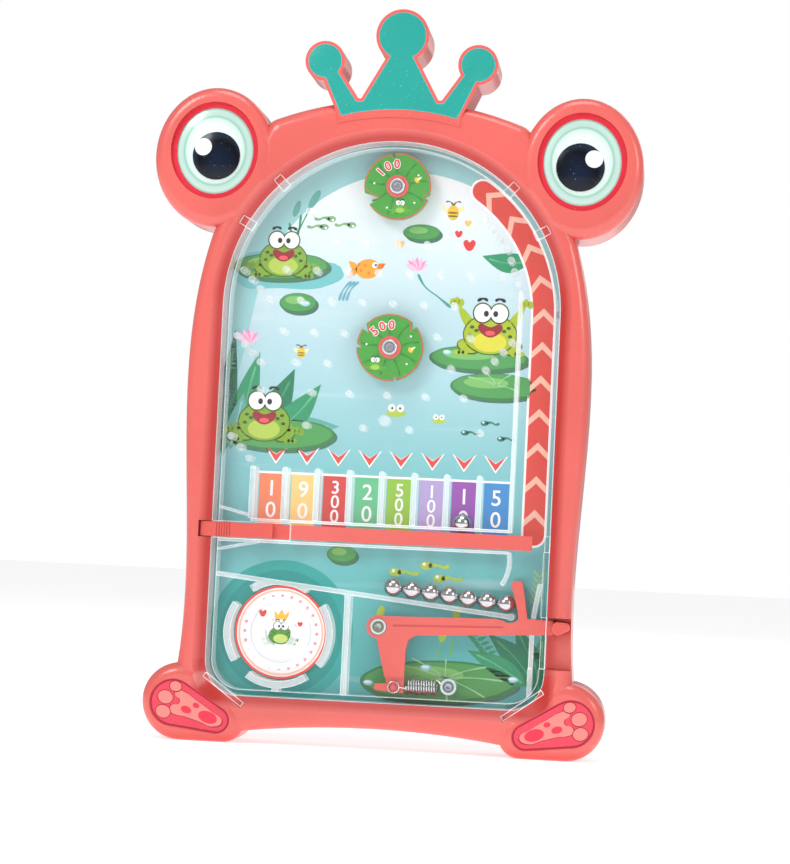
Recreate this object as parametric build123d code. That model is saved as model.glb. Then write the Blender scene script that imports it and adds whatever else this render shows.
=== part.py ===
from build123d import *
import math
import os

# Frog-shaped tabletop pachinko game, in millimetres. X runs across, +Z is up and -Y is the front.
# The origin is midway across and midway through the depth, on the ground under the feet.

# Case, seen from the front
body_half_low = 68.4
body_half_waist = 66.8
body_half_belly = 69.5
body_half_neck = 63.0
body_low_z = 24.0
body_waist_z = 60.0
body_belly_z = 120.0
body_neck_z = 176.0
shoulder_x = 45.0
shoulder_z = 215.0
crown_line_z = 223.8
arch_half = 58.0
arch_foot_z = 2.0
arch_z = 7.2
body_corner = 6.0

# Case, front to back
case_front = -12.4
case_seam = 1.0
case_back = 13.0
shell_wall = 2.4
front_round = 4.0
back_round = 3.5
front_skin = 3.2
past = 1.0  # how far a cut starts in front of the face it opens

# Window in the front shell
window_half = 58.5
window_bottom = 16.0
window_arch_z = 151.0
window_corner = 12.5
bevel_width = 4.0
bevel_inner_y = -9.9
window_wall = 2.0

# Eye pods
eye_x = 63.6
eye_z = 201.7
pod_half_x = 21.0
pod_half_z = 24.3
pod_front = -13.0
pod_round = 3.6
well_z = 203.8
well_half_x = 15.3
well_half_z = 16.9
well_floor = -9.5
eye_gap = 0.02
eye_rim = 0.5
pupil_seat = 0.8
pupil_rim = 0.3
eye_ring_width = 1.9
eye_ring_front = -11.3
eyeball_front = -12.2
pupil_radius = 8.3
pupil_x = 63.0
pupil_z = 202.0
pupil_front = -12.9

# Feet
heel_x = 66.3
heel_radius = 13.3
toe_x = 51.0
toe_radius = 7.3
foot_front = -12.8
foot_skin = 4.0
inlay_heel = (68.3, 12.9, 8.2)
inlay_toe = (53.0, 7.6, 4.7)
inlay_floor = -11.4
inlay_front = -12.1

# Crown
crown_big = (0.0, 245.5, 8.1)
crown_small = (26.5, 236.1, 5.8)
crown_base_half = 20.0
crown_base_z = 217.2
crown_base_rise = 2.7
crown_valley = (13.9, 222.3)
crown_peak = (2.3, 241.0)
crown_valley_half = 1.2
crown_arm_in = 0.5
crown_arm_step = 4.0
crown_border = 1.1
crown_step = 2.7
crown_step_lean = 0.6
crown_step_top = 2.0
crown_plate_front = -12.6
crown_recess = -11.4
crown_front = -12.6
crown_ball_front = -13.0
crown_back = 8.0

# Balls, and the clear cover that leaves room for them in front of the card
ball_radius = 3.25
ball_gap = 0.1
ball_room = 1.4
card_front = -0.5
ball_y = card_front - ball_gap - ball_radius
fit = 0.15
cover_thick = 1.4
cover_back = card_front - 2 * ball_radius - ball_room
cover_front = cover_back - cover_thick
skirt_thick = 2.0
card_thick = 0.3
plate_front = card_front + card_thick
plate_thick = 2.0
plate_back = plate_front + plate_thick
tab_rise = 1.1
tab_front = cover_front - tab_rise
tab_width = 3.2
tab_reach = 2.4
tab_root = 3.0
tab_angles = (29, 47)
catch_outer = (-58.2, 23.0)
catch_inner = (-44.6, 13.2)
catch_width = 1.8
side_slot_x = -50.0
tongue_slot_x = 50.0
lever_slot_x = 54.0

# Playfield walls
wall = 1.5
thin_wall = 1.3
channel_x = 44.4
channel_top = 158.5
slot_count = 8
slot_pitch = 11.2
first_divider_x = -45.2
divider_width = 1.9
divider_bottom = 77.3
divider_top = 94.5
rib_depth = 1.1
rail_left = (-56.1, 57.7)
rail_right = (46.0, 47.7)
partition_x = -10.2
partition_width = 2.0
corner_wall_x = 53.3
corner_wall_top = 46.0
wall_gap = 0.1
shelf_wall = 0.9
shelf_upper = (80.8, -46.4, 78.4)
shelf_lower = (66.2, -42.3, 69.4)
rib_high = (69.0, 70.0)
rail_end_radius = 1.2
partition_top = 53.0
corner_wall_lean = (55.5, 59.5)
guide = (30.0, 66.5, 14.0)
guide_sweep = (-33, 12)
peg_radius = 1.25
peg_end = -0.9
big_peg = (-0.6, 112.9, 1.9)
dial = (-33.7, 38.3)
dial_radius = 16.1
dial_front = -1.6
dial_ring = (16.6, 19.0)
dial_ring_sweeps = ((148, 214), (-36, 34), (58, 124), (236, 304))
dial_maze = ((10.5, 12.4, 20, 160), (10.5, 12.4, 205, 335), (4.5, 6.3, 120, 420))
dial_stem_half = 1.2
rail_clear = 4.0

# Balls on the feed rail
feed_count = 7
feed_pitch = 2 * ball_radius + 0.05
ball_stop_x = 47.25
last_ball_x = ball_stop_x - ball_radius

# Release bar
bar_low = 70.5
bar_high = 75.5
bar_left = -55.6
bar_right = 52.2
bar_front = cover_back + 0.1
bar_skin = 1.05
finger_width = 4.2
grip_left = -62.0
grip_right = -37.0
grip_rise = 1.0
grip_front = cover_front - grip_rise
groove_count = 6
groove_first = -56.6
groove_pitch = 0.9
groove_width = 0.4
bar_travel = 5.6
bar_play = 0.3

# Spinners
spinner_x = 0.0
spinner_top_z = 194.2
spinner_mid_z = 138.3
spinner_radius = 11.6
spinner_front = -6.2
spinner_back = -4.4
hub_radius = 3.85
hub_front = -6.9
hub_back = -3.8
hub_seat = 0.6
rivet_radius = 1.2
rivet_head = 2.75
rivet_head_high = 0.8
rivet_round = 0.5
rivet_collar = 2.2
rivet_dimple = 0.9
running_gap = 0.06

# Launch lever
pivot = (0.8, 42.2)
lever_front = -8.2
lever_back = -5.2
boss_radius = 4.0
pin_radius = 1.5
pin_head = 2.8
finger_back = -1.0
tip_front = -12.2
tip_root = (62.4, 44.7, 2.35)
tip_end = (64.9, 45.2, 1.55)
hook = (6.9, 21.8)
hook_thick = 1.2
hook_boss = 0.7
hook_zone = (-1.0, 19.0, 12.0, 25.4)
tip_round = 0.7
tip_start = 60.0
tip_face = (66.6, -9.6)
groove = ((6.0, 42.9), (43.5, 44.2), 0.7)
pin_collar = 3.0
pin_dimple = 1.0
notch_low = 30.6
notch_high = 48.2
notch_floor_x = 60.6
notch_lip = (66.9, -9.3)
notch_mouth = (68.2, -14.0)
notch_start = window_half - 0.4
notch_clear = 0.3
notch_ground_x = 66.0
bar_ground_x = 65.5
ground_margin = 3.0
ground_skin = 1.5

# Return spring
post = (25.8, 22.9)
post_radius = 1.5
post_head = 2.8
post_front = -7.8
post_head_back = -7.1
post_hole = 0.9
wire = 0.3
coil_radius = 2.6
coil_left = 11.3
coil_length = 10.4
coil_pitch = 0.88
coil_y = -5.1
coil_z = 22.4
hook_loop = 1.9
post_loop = 2.0
hook_loop_y = -6.9
post_loop_y = -6.7
link_share = 0.004

# Ribs inside the back
rib_half = 0.8
rib_columns = (-30, 30)
rib_rows = (64, 114, 164)
rib_low_z = 12.0
rib_high_z = 205.0
rib_end_x = 56.0

# Screws
screw_places = [(-63.6, 201.7), (63.6, 201.7), (0.0, 217.3), (-64.0, 13.0), (64.0, 13.0)]
screw_radius = 1.4
screw_head = 2.6
screw_tip = -6.0
screw_seat = 8.6
screw_clear = 0.3
screw_head_high = 1.8
screw_head_round = 0.8
cross_half = 1.6
cross_width = 0.35
boss = 3.8
back_boss = 4.4
boss_front = -9.3


def slab(sketch, front, back):
    """Solid of a front-view sketch between two depths."""
    return extrude(Plane.XZ.offset(-back) * sketch, amount=back - front, dir=(0, -1, 0))


def disc(x, z, radius):
    return Pos(x, z) * Circle(radius)


def oval(x, z, half_x, half_z):
    return Pos(x, z) * Ellipse(half_x, half_z)


def patch(x_low, z_low, x_high, z_high):
    middle = Pos((x_low + x_high) / 2, (z_low + z_high) / 2)
    return middle * Rectangle(x_high - x_low, z_high - z_low)


def strip(start, end, width):
    """Straight band with square ends."""
    length = math.dist(start, end)
    angle = math.degrees(math.atan2(end[1] - start[1], end[0] - start[0]))
    middle = Pos((start[0] + end[0]) / 2, (start[1] + end[1]) / 2)
    return middle * Rot(0, 0, angle) * Rectangle(length, width)


def ring_sector(x, z, inner, outer, start, end):
    """Band between two radii, from one angle to another, measured from +X towards +Z."""
    steps = max(2, math.ceil((end - start) / 60))
    reach = 3 * outer
    corners = [(x, z)]
    for step in range(steps + 1):
        angle = math.radians(start + (end - start) * step / steps)
        corners.append((x + reach * math.cos(angle), z + reach * math.sin(angle)))
    ring = disc(x, z, outer) - disc(x, z, inner)
    return ring & Polygon(*corners, align=None)


def both_sides(sketch):
    return sketch + mirror(sketch, about=Plane.YZ)


def tangent_hull(big, small):
    """Outline round two circles, each given as (x, z, radius)."""
    away = math.atan2(small[1] - big[1], small[0] - big[0])
    lean = math.acos((big[2] - small[2]) / math.dist(big[:2], small[:2]))

    def on_circle(circle, angle):
        return (circle[0] + circle[2] * math.cos(angle), circle[1] + circle[2] * math.sin(angle))

    big_high = on_circle(big, away + lean)
    big_low = on_circle(big, away - lean)
    small_high = on_circle(small, away + lean)
    small_low = on_circle(small, away - lean)
    edges = [
        Line(big_high, small_high),
        ThreePointArc(small_high, on_circle(small, away), small_low),
        Line(small_low, big_low),
        ThreePointArc(big_low, on_circle(big, away + math.pi), big_high),
    ]
    return make_face(edges)


def body_outline(inset):
    """Case outline between the pods and the feet, drawn in by an inset."""
    right = Spline(
        (body_half_low - inset, body_low_z),
        (body_half_waist - inset, body_waist_z),
        (body_half_belly - inset, body_belly_z),
        (body_half_neck - inset, body_neck_z),
    )
    left = mirror(right, about=Plane.YZ)
    arch_end = (arch_half - inset, arch_foot_z + inset)
    bottom = ThreePointArc((-arch_end[0], arch_end[1]), (0, arch_z + inset), arch_end)
    top_end = (shoulder_x - inset / 2, shoulder_z - inset)
    top = ThreePointArc(top_end, (0, crown_line_z - inset), (-top_end[0], top_end[1]))
    edges = [
        bottom,
        Line(arch_end, right @ 0),
        right,
        Line(right @ 1, top_end),
        top,
        Line((-top_end[0], top_end[1]), left @ 1),
        left,
        Line(left @ 0, (-arch_end[0], arch_end[1])),
    ]
    outline = make_face(edges)
    return fillet(outline.vertices(), body_corner - inset)


def window_outline(grow):
    """Window outline, grown outwards by an amount: a half circle on a box with round lower corners."""
    half = window_half + grow
    low = window_bottom - grow
    corner = window_corner + grow
    slant = corner * (1 - math.sqrt(0.5))
    edges = [
        Line((-half + corner, low), (half - corner, low)),
        ThreePointArc((half - corner, low), (half - slant, low + slant), (half, low + corner)),
        Line((half, low + corner), (half, window_arch_z)),
        ThreePointArc((half, window_arch_z), (0, window_arch_z + half), (-half, window_arch_z)),
        Line((-half, window_arch_z), (-half, low + corner)),
        ThreePointArc((-half, low + corner), (-half + slant, low + slant), (-half + corner, low)),
    ]
    return make_face(edges)


def foot_outline(inset):
    return tangent_hull(
        (heel_x, heel_radius, heel_radius - inset),
        (toe_x, toe_radius, toe_radius - inset),
    )


def crown_outline(grow):
    """Crown with one tall and two short points, each topped by a ball."""
    arm_x, arm_z, arm_radius = crown_small
    valley_x, valley_z = crown_valley
    peak_half, peak_z = crown_peak
    base = [
        Line((crown_base_half, crown_base_z), (arm_x - crown_arm_in, arm_z - arm_radius)),
        Line((arm_x - crown_arm_in, arm_z - arm_radius), (arm_x - crown_arm_step, arm_z - arm_radius / 2)),
        Line((arm_x - crown_arm_step, arm_z - arm_radius / 2), (valley_x + crown_valley_half, valley_z)),
        Line((valley_x + crown_valley_half, valley_z), (valley_x - crown_valley_half, valley_z)),
        Line((valley_x - crown_valley_half, valley_z), (peak_half, peak_z)),
        Line((peak_half, peak_z), (-peak_half, peak_z)),
        Line((-peak_half, peak_z), (-valley_x + crown_valley_half, valley_z)),
        Line((-valley_x + crown_valley_half, valley_z), (-valley_x - crown_valley_half, valley_z)),
        Line((-valley_x - crown_valley_half, valley_z), (-arm_x + crown_arm_step, arm_z - arm_radius / 2)),
        Line((-arm_x + crown_arm_step, arm_z - arm_radius / 2), (-arm_x + crown_arm_in, arm_z - arm_radius)),
        Line((-arm_x + crown_arm_in, arm_z - arm_radius), (-crown_base_half, crown_base_z)),
        ThreePointArc(
            (-crown_base_half, crown_base_z),
            (0, crown_base_z + crown_base_rise),
            (crown_base_half, crown_base_z),
        ),
    ]
    shape = make_face(base)
    if grow > 0:
        shape = offset(shape, grow, kind=Kind.ARC)
    balls = disc(crown_big[0], crown_big[1], crown_big[2] + grow)
    balls += both_sides(disc(arm_x, arm_z, arm_radius + grow))
    return shape + balls


def crown_step_outline():
    """Raised coral band under the crown."""
    half = crown_base_half + crown_border
    low = crown_base_z - crown_step
    edges = [
        ThreePointArc((-half, low), (0, low + crown_base_rise), (half, low)),
        Line((half, low), (half + crown_step_lean, crown_base_z + crown_step_top)),
        Line((half + crown_step_lean, crown_base_z + crown_step_top), (-half - crown_step_lean, crown_base_z + crown_step_top)),
        Line((-half - crown_step_lean, crown_base_z + crown_step_top), (-half, low)),
    ]
    return make_face(edges)


def rounded_slab(sketch, front, back, radius, side):
    """Slab with its front (-1) or back (1) outer edge rounded."""
    solid = slab(sketch, front, back)
    faces = solid.faces().sort_by(Axis.Y)
    face = faces[0] if side < 0 else faces[-1]
    return fillet(face.edges(), radius)


def rod(start, end, radius):
    """Round bar between two points in space."""
    path = Line(start, end)
    return sweep(Plane(origin=path @ 0, z_dir=path % 0) * Circle(radius), path=path)


def tab_outlines(grow):
    """Snap tabs of the clear cover, and the catch strips over its lower corners."""
    tabs = Sketch()
    for angle in tab_angles:
        for side in (-1, 1):
            turn = 90 + side * (90 - angle)
            radians = math.radians(turn)
            inner = window_half - tab_root
            outer = window_half + tab_reach + grow
            start = (inner * math.cos(radians), window_arch_z + inner * math.sin(radians))
            end = (outer * math.cos(radians), window_arch_z + outer * math.sin(radians))
            tabs += strip(start, end, tab_width + 2 * grow)
    start = (catch_outer[0] - grow, catch_outer[1] + grow * 0.7)
    end = (catch_inner[0] + grow, catch_inner[1] - grow * 0.7)
    catch = strip(start, end, catch_width + 2 * grow)
    return tabs + both_sides(catch)


def lever_notch():
    """Scoop in the case for the lever's tip and the finger that presses it."""
    corners = [
        (notch_start, lever_back + notch_clear),
        (notch_floor_x, lever_back + notch_clear),
        notch_lip,
        notch_mouth,
        (notch_start, notch_mouth[1]),
    ]
    scoop = Pos(0, 0, notch_low) * Polygon(*corners, align=None)
    return extrude(scoop, amount=notch_high - notch_low, dir=(0, 0, 1))


def make_front_shell():
    pods = [oval(side * eye_x, eye_z, pod_half_x, pod_half_z) for side in (-1, 1)]
    shell = rounded_slab(body_outline(0), case_front, case_seam, front_round, -1)
    for pod in pods:
        shell += rounded_slab(pod, pod_front, case_seam, pod_round, -1)
    for foot in (foot_outline(0), mirror(foot_outline(0), about=Plane.YZ)):
        shell += rounded_slab(foot, foot_front, case_seam, front_round, -1)
    shell += slab(crown_outline(crown_border), crown_plate_front, case_seam)
    shell += slab(crown_step_outline(), crown_plate_front, case_seam)

    pocket = body_outline(shell_wall) - window_outline(window_wall)
    for pod in pods:
        pocket -= pod
    shell -= slab(pocket, case_front + front_skin, case_seam)
    for side in (-1, 1):
        pod_hollow = oval(side * eye_x, eye_z, pod_half_x - shell_wall, pod_half_z - shell_wall)
        shell -= slab(pod_hollow - window_outline(window_wall), well_floor + shell_wall, case_seam)
        well = slab(oval(side * eye_x, well_z, well_half_x, well_half_z), pod_front - past, well_floor)
        shell -= well
    foot_hollow = foot_outline(shell_wall) - window_outline(window_wall)
    shell -= slab(both_sides(foot_hollow), foot_front + foot_skin, case_seam)

    # solid ground for the two notches in the window's border
    low, high = notch_low - ground_margin, notch_high + ground_margin
    shell += slab(patch(window_half, low, notch_ground_x, high), case_front + ground_skin, lever_back + 2.6)
    low, high = bar_low - ground_margin, bar_high + ground_margin
    shell += slab(patch(-bar_ground_x, low, -window_half, high), case_front + ground_skin, cover_front + 3)

    for x, z in screw_places:
        shell += slab(disc(x, z, boss), boss_front, case_seam)
        shell -= slab(disc(x, z, screw_radius + eye_gap), screw_tip - screw_clear, case_seam)

    shell -= slab(window_outline(0), pod_front - past, case_seam)
    shell -= slab(window_outline(window_wall + 0.5), card_front, case_seam)
    slope = bevel_width / (bevel_inner_y - case_front)
    far_y = pod_front - past
    bevel = loft(
        [
            Plane.XZ.offset(-far_y) * window_outline(slope * (bevel_inner_y - far_y)),
            Plane.XZ.offset(-bevel_inner_y) * window_outline(0),
        ],
        ruled=True,
    )
    shell -= bevel
    shell -= lever_notch()
    bar_notch = patch(grip_left - 2 * bar_play, bar_low - bar_play, -window_half + past, bar_high + bar_play)
    shell -= slab(bar_notch, pod_front - past, cover_front + 2 * bar_play)
    shell -= slab(tab_outlines(fit), pod_front - past, cover_front + 0.05)
    shell -= slab(crown_outline(0), crown_plate_front - past, crown_recess)
    inlay = tangent_hull(inlay_heel, inlay_toe)
    shell -= slab(both_sides(inlay), foot_front - past, inlay_floor)
    return shell


def make_rear_shell():
    shell = rounded_slab(body_outline(0), case_seam, case_back, back_round, 1)
    for side in (-1, 1):
        pod = oval(side * eye_x, eye_z, pod_half_x, pod_half_z)
        shell += rounded_slab(pod, case_seam, case_back, back_round, 1)
    for foot in (foot_outline(0), mirror(foot_outline(0), about=Plane.YZ)):
        shell += rounded_slab(foot, case_seam, case_back, back_round, 1)
    crown = crown_outline(crown_border) + crown_step_outline()
    shell += slab(crown, case_seam, crown_back)
    hollow = body_outline(shell_wall) + both_sides(
        oval(eye_x, eye_z, pod_half_x - shell_wall, pod_half_z - shell_wall)
    )
    hollow += both_sides(foot_outline(shell_wall))
    inner_back = case_back - shell_wall
    shell -= slab(hollow, case_seam, inner_back)
    for x in rib_columns:
        shell += slab(patch(x - rib_half, rib_low_z, x + rib_half, rib_high_z), plate_back, inner_back)
    for z in rib_rows:
        shell += slab(patch(-rib_end_x, z - rib_half, rib_end_x, z + rib_half), plate_back, inner_back)
    for x, z in screw_places:
        shell += slab(disc(x, z, back_boss), case_seam, inner_back)
        shell -= slab(disc(x, z, screw_radius + screw_clear), case_seam, case_back)
        shell -= slab(disc(x, z, screw_head + 0.4), screw_seat, case_back + past)
    return shell


def make_crown_cap():
    cap = slab(crown_outline(0), crown_front, crown_recess)
    places = [crown_big, crown_small, (-crown_small[0], crown_small[1], crown_small[2])]
    for x, z, radius in places:
        rise = crown_front - crown_ball_front
        dome_radius = (radius ** 2 + rise ** 2) / (2 * rise)
        dome = Pos(x, crown_ball_front + dome_radius, z) * Sphere(dome_radius)
        cap += dome & slab(disc(x, z, radius - 0.05), crown_ball_front - past, crown_front + 0.5)
    return cap


def dome_on(outline_half_x, outline_half_z, x, z, base, front):
    """Low dome with an oval foot, cut from a squashed ball."""
    rise = base - front
    ball_radius_x = (outline_half_x ** 2 + rise ** 2) / (2 * rise)
    ball = Sphere(ball_radius_x)
    lens = ball & (Pos(0, -ball_radius_x, 0) * Box(3 * outline_half_x, 2 * rise, 3 * outline_half_x))
    lens = scale(lens, by=(1, 1, outline_half_z / outline_half_x))
    return Pos(x, front + ball_radius_x, z) * lens


def make_eye(side):
    ring_x = side * eye_x
    outer = oval(ring_x, well_z, well_half_x - 0.05, well_half_z - 0.05)
    inner = oval(ring_x, well_z, well_half_x - eye_ring_width, well_half_z - eye_ring_width)
    ring = slab(outer - inner, eye_ring_front, well_floor)
    half_x = well_half_x - eye_ring_width - eye_gap
    half_z = well_half_z - eye_ring_width - eye_gap
    seat = eye_ring_front + eye_rim
    eyeball = slab(oval(ring_x, well_z, half_x, half_z), seat, well_floor)
    eyeball += dome_on(half_x, half_z, ring_x, well_z, seat, eyeball_front)
    socket = slab(disc(side * pupil_x, pupil_z, pupil_radius), pod_front - past, eyeball_front + pupil_seat)
    eyeball -= socket
    base = eyeball_front + pupil_rim
    radius = pupil_radius - eye_gap
    pupil = slab(disc(side * pupil_x, pupil_z, radius), base, eyeball_front + pupil_seat)
    pupil += dome_on(radius, radius, side * pupil_x, pupil_z, base, pupil_front)
    return ring, eyeball, pupil


def make_window_cover():
    plate = slab(window_outline(-fit), cover_front, cover_back)
    skirt = window_outline(-fit) - window_outline(-fit - skirt_thick)
    cover = plate + slab(skirt, cover_back, card_front)
    tabs = tab_outlines(0) & window_outline(tab_reach + tab_root)
    cover += slab(tabs, tab_front, cover_front)
    grip_slot = patch(
        -window_half - past, bar_low - bar_play, grip_right + bar_travel + bar_play, bar_high + bar_play
    )
    cover -= slab(grip_slot, cover_front - past, cover_back)
    side_slot = patch(-window_half - past, bar_low - bar_play, side_slot_x, bar_high + bar_play)
    cover -= slab(side_slot, cover_back, bar_front + bar_skin + bar_play)
    tongue_slot = patch(tongue_slot_x, bar_low - bar_play, window_half + past, bar_high + bar_play)
    cover -= slab(tongue_slot, cover_back, bar_front + bar_skin + bar_play)
    lever_slot = patch(lever_slot_x, notch_low, window_half + past, notch_high)
    cover -= slab(lever_slot, cover_back, lever_back + notch_clear)
    return cover


def make_play_walls():
    """Clear walls that stand on the cover's inner face."""
    deep = card_front - wall_gap
    shallow = cover_back + rib_depth
    full = slab(patch(channel_x - thin_wall / 2, divider_bottom - 1, channel_x + thin_wall / 2, channel_top),
                cover_back, deep)
    full += slab(disc(channel_x, channel_top, thin_wall / 2), cover_back, deep)
    full += slab(strip(rail_left, rail_right, wall) + disc(*rail_right, rail_end_radius), cover_back, deep)
    floor_z = window_bottom + fit + skirt_thick
    full += slab(
        patch(partition_x - partition_width / 2, floor_z, partition_x + partition_width / 2, partition_top),
        cover_back,
        deep,
    )
    corner = strip((corner_wall_x, floor_z + 0.1), (corner_wall_x, corner_wall_top), wall)
    corner += strip((corner_wall_x, corner_wall_top - 0.3), corner_wall_lean, wall)
    corner_solid = slab(corner, cover_back, deep)
    corner_solid -= slab(patch(tongue_slot_x, notch_low, window_half, notch_high), cover_back - past, lever_back + notch_clear)
    full += corner_solid
    x, z, radius = guide
    full += slab(ring_sector(x, z, radius, radius + thin_wall, *guide_sweep), cover_back, deep)
    left_face = -window_half + fit + skirt_thick
    for left_z, right_x, right_z in (shelf_upper, shelf_lower):
        full += slab(strip((left_face + 0.2, left_z), (right_x, right_z), shelf_wall), cover_back, deep)
    full += slab(patch(left_face, rib_high[0], channel_x, rib_high[1]), cover_back, shallow)
    full += slab(patch(first_divider_x, divider_bottom - 1, channel_x, divider_bottom), cover_back, shallow)
    x, z = dial
    above_rail = strip(
        (rail_left[0], rail_left[1] + rail_clear), (rail_right[0], rail_right[1] + rail_clear), 2 * rail_clear
    )
    for start, end in dial_ring_sweeps:
        full += slab(ring_sector(x, z, *dial_ring, start, end) - above_rail, cover_back, deep)
    full += slab(patch(x - dial_stem_half, floor_z, x + dial_stem_half, z - 17), cover_back, deep)
    for inner, outer, start, end in dial_maze:
        full += slab(ring_sector(x, z, inner, outer, start, end), cover_back, dial_front - 0.3)
    return full & slab(window_outline(-fit - skirt_thick), cover_back, card_front)


def make_slot_dividers():
    dividers = []
    for index in range(slot_count):
        x = first_divider_x + index * slot_pitch
        shape = patch(x - divider_width / 2, divider_bottom, x + divider_width / 2, divider_top)
        shape += disc(x, divider_top, divider_width / 2)
        dividers.append(slab(shape, cover_back, card_front - wall_gap))
    return dividers


def peg_rows():
    """Rows and chains of pegs: first x, first z, count, step in x, step in z."""
    return [
        (-30.0, 184.2, 1, 0, 0),
        (30.6, 184.2, 3, 2.8, -3.4),
        (-20.8, 174.1, 5, 10.75, 0),
        (39.2, 173.6, 4, 1.4, -3.9),
        (-37.2, 163.8, 8, 10.7, 0),
        (-51.9, 163.0, 3, 3.0, -3.1),
        (-42.3, 153.3, 7, 10.68, 0),
        (-37.3, 142.5, 3, 10.65, 0),
        (16.2, 142.5, 2, 11.6, 0),
        (42.2, 141.5, 1, 0, 0),
        (-53.1, 140.2, 4, 2.83, -2.93),
        (-32.5, 131.9, 2, 11.2, 0),
        (21.5, 131.7, 2, 12.0, 0),
        (36.4, 135.0, 2, 2.8, 3.2),
        (-44.0, 122.0, 1, 0, 0),
        (-26.5, 121.7, 5, 13.2, 0),
        (-27.7, 110.2, 1, 0, 0),
        (-7.9, 110.1, 2, 16.0, 0),
        (32.5, 110.0, 1, 0, 0),
        (-53.5, 105.4, 3, 3.3, -3.7),
    ]


def make_pegs():
    pegs = []
    for x, z, count, step_x, step_z in peg_rows():
        for index in range(count):
            place = disc(x + index * step_x, z + index * step_z, peg_radius)
            pegs.append(slab(place, cover_back, peg_end))
    pegs.append(slab(disc(*big_peg), cover_back, peg_end))
    return pegs


def make_spinner(z, notches):
    """Lily pad wheel: a round plate with V notches and steps cut from its rim."""
    pad = disc(spinner_x, z, spinner_radius)
    for angle, depth, width in notches:
        turn = math.radians(angle)
        out = (math.cos(turn), math.sin(turn))
        across = (-out[1], out[0])
        far = spinner_radius + 1
        near = spinner_radius - depth
        corners = [
            (spinner_x + out[0] * near, z + out[1] * near),
            (spinner_x + out[0] * far + across[0] * width, z + out[1] * far + across[1] * width),
            (spinner_x + out[0] * far, z + out[1] * far),
        ]
        pad -= Polygon(*corners, align=None)
    pad -= disc(spinner_x, z, hub_radius - hub_seat)
    return slab(pad, spinner_front, spinner_back)


def make_hub(z):
    hub = slab(disc(spinner_x, z, hub_radius - hub_seat), hub_front, hub_back)
    hub += slab(disc(spinner_x, z, hub_radius), hub_front, spinner_front)
    return hub - slab(disc(spinner_x, z, rivet_radius + running_gap), hub_front - past, hub_back + past)


def make_spinner_rivets():
    rivets = []
    for z in (spinner_top_z, spinner_mid_z):
        seat = hub_front - 0.1
        rivet = slab(disc(spinner_x, z, rivet_head), seat - rivet_head_high, seat)
        rivet = fillet(rivet.faces().sort_by(Axis.Y)[0].edges(), rivet_round)
        rivet += slab(disc(spinner_x, z, rivet_radius), seat - 0.1, plate_back)
        rivet += slab(disc(spinner_x, z, rivet_collar), hub_back + 0.1, card_front)
        rivet -= slab(disc(spinner_x, z, rivet_dimple), hub_front - past, seat - 0.2)
        rivets.append(rivet)
    return rivets


def lever_outline():
    arm = Polygon(
        (2.0, 45.9), (41.2, 46.9), (43.4, 46.4), (45.0, 45.6), (47.2, 46.0), (48.9, 47.4),
        (58.0, 47.2), (60.6, 47.1), (60.6, 42.3), (52.0, 41.9), (14.0, 39.9), (11.4, 38.2),
        (10.6, 34.6), (10.4, 19.9), (7.4, 19.9), (0.2, 20.6), (0.2, 22.6), (4.4, 23.0), (0.2, 39.2),
        align=None,
    )
    finger = Polygon(
        (48.9, 46.6), (48.3, 50.0), (45.8, 58.6), (46.4, 60.0), (48.9, 60.2), (49.7, 59.0), (51.8, 47.0),
        align=None,
    )
    return arm, finger


def make_launch_lever():
    arm, finger = lever_outline()
    lever = slab(arm + finger + disc(*pivot, boss_radius), lever_front, lever_back)
    lever += slab(finger, lever_back - 0.5, finger_back)
    tip = tangent_hull(tip_root, tip_end)
    wedge = Polygon(
        (tip_start, lever_back),
        (tip_start + 0.4, lever_back),
        tip_face,
        (tip_face[0], tip_front),
        (tip_start, tip_front),
        align=None,
    )
    tip_block = slab(tip, tip_front, lever_back)
    tip_block = fillet(tip_block.faces().sort_by(Axis.Y)[0].edges(), tip_round)
    lever += tip_block & extrude(Pos(0, 0, 40) * wedge, amount=10, dir=(0, 0, 1))
    lever -= slab(disc(*pivot, pin_head + 0.2), lever_front - past, lever_front + 1.0)
    lever -= slab(disc(*pivot, pin_radius + running_gap), lever_front - past, lever_back + past)
    lever -= slab(strip(*groove), lever_front - past, lever_front + 0.5)
    lever -= slab(patch(*hook_zone), lever_front - past, lever_back - hook_thick)
    lever += slab(disc(*hook, hook_boss), lever_front + 0.3, lever_back - hook_thick)
    return lever


def make_lever_pin():
    pin = slab(disc(*pivot, pin_head), lever_front + 0.05, lever_front + 0.9)
    pin += slab(disc(*pivot, pin_radius), lever_front + 0.5, plate_back)
    pin += slab(disc(*pivot, pin_collar), lever_back + 0.1, card_front)
    return pin - slab(disc(*pivot, pin_dimple), lever_front - past, lever_back)


def make_spring_post():
    eyelet = slab(disc(*post, post_head), post_front, post_head_back)
    eyelet += slab(disc(*post, post_radius), post_head_back - 0.2, plate_back)
    return eyelet - slab(disc(*post, post_hole), post_front - past, -3)


def make_return_spring():
    """Close-wound coil with a wire loop at each end."""
    path = Pos(coil_left, coil_y, coil_z) * Rot(90, 0, 0) * Helix(
        coil_pitch, coil_length, coil_radius, direction=(1, 0, 0)
    )
    spring = sweep(Plane(origin=path @ 0, z_dir=path % 0) * Circle(wire), path=path, is_frenet=True)
    ends = [
        (hook, hook_loop, hook_loop_y, 1, link_share),
        (post, post_loop, post_loop_y, -1, 1 - link_share),
    ]
    for centre, loop_radius, depth, side, end in ends:
        loop = Pos(centre[0], depth, centre[1]) * Rot(90, 0, 0) * Torus(loop_radius, wire)
        loop_side = (centre[0] + side * (loop_radius - 0.1), depth, centre[1])
        loop += rod(loop_side, tuple(path @ end), wire - 0.02)
        spring += loop
    return spring


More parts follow.
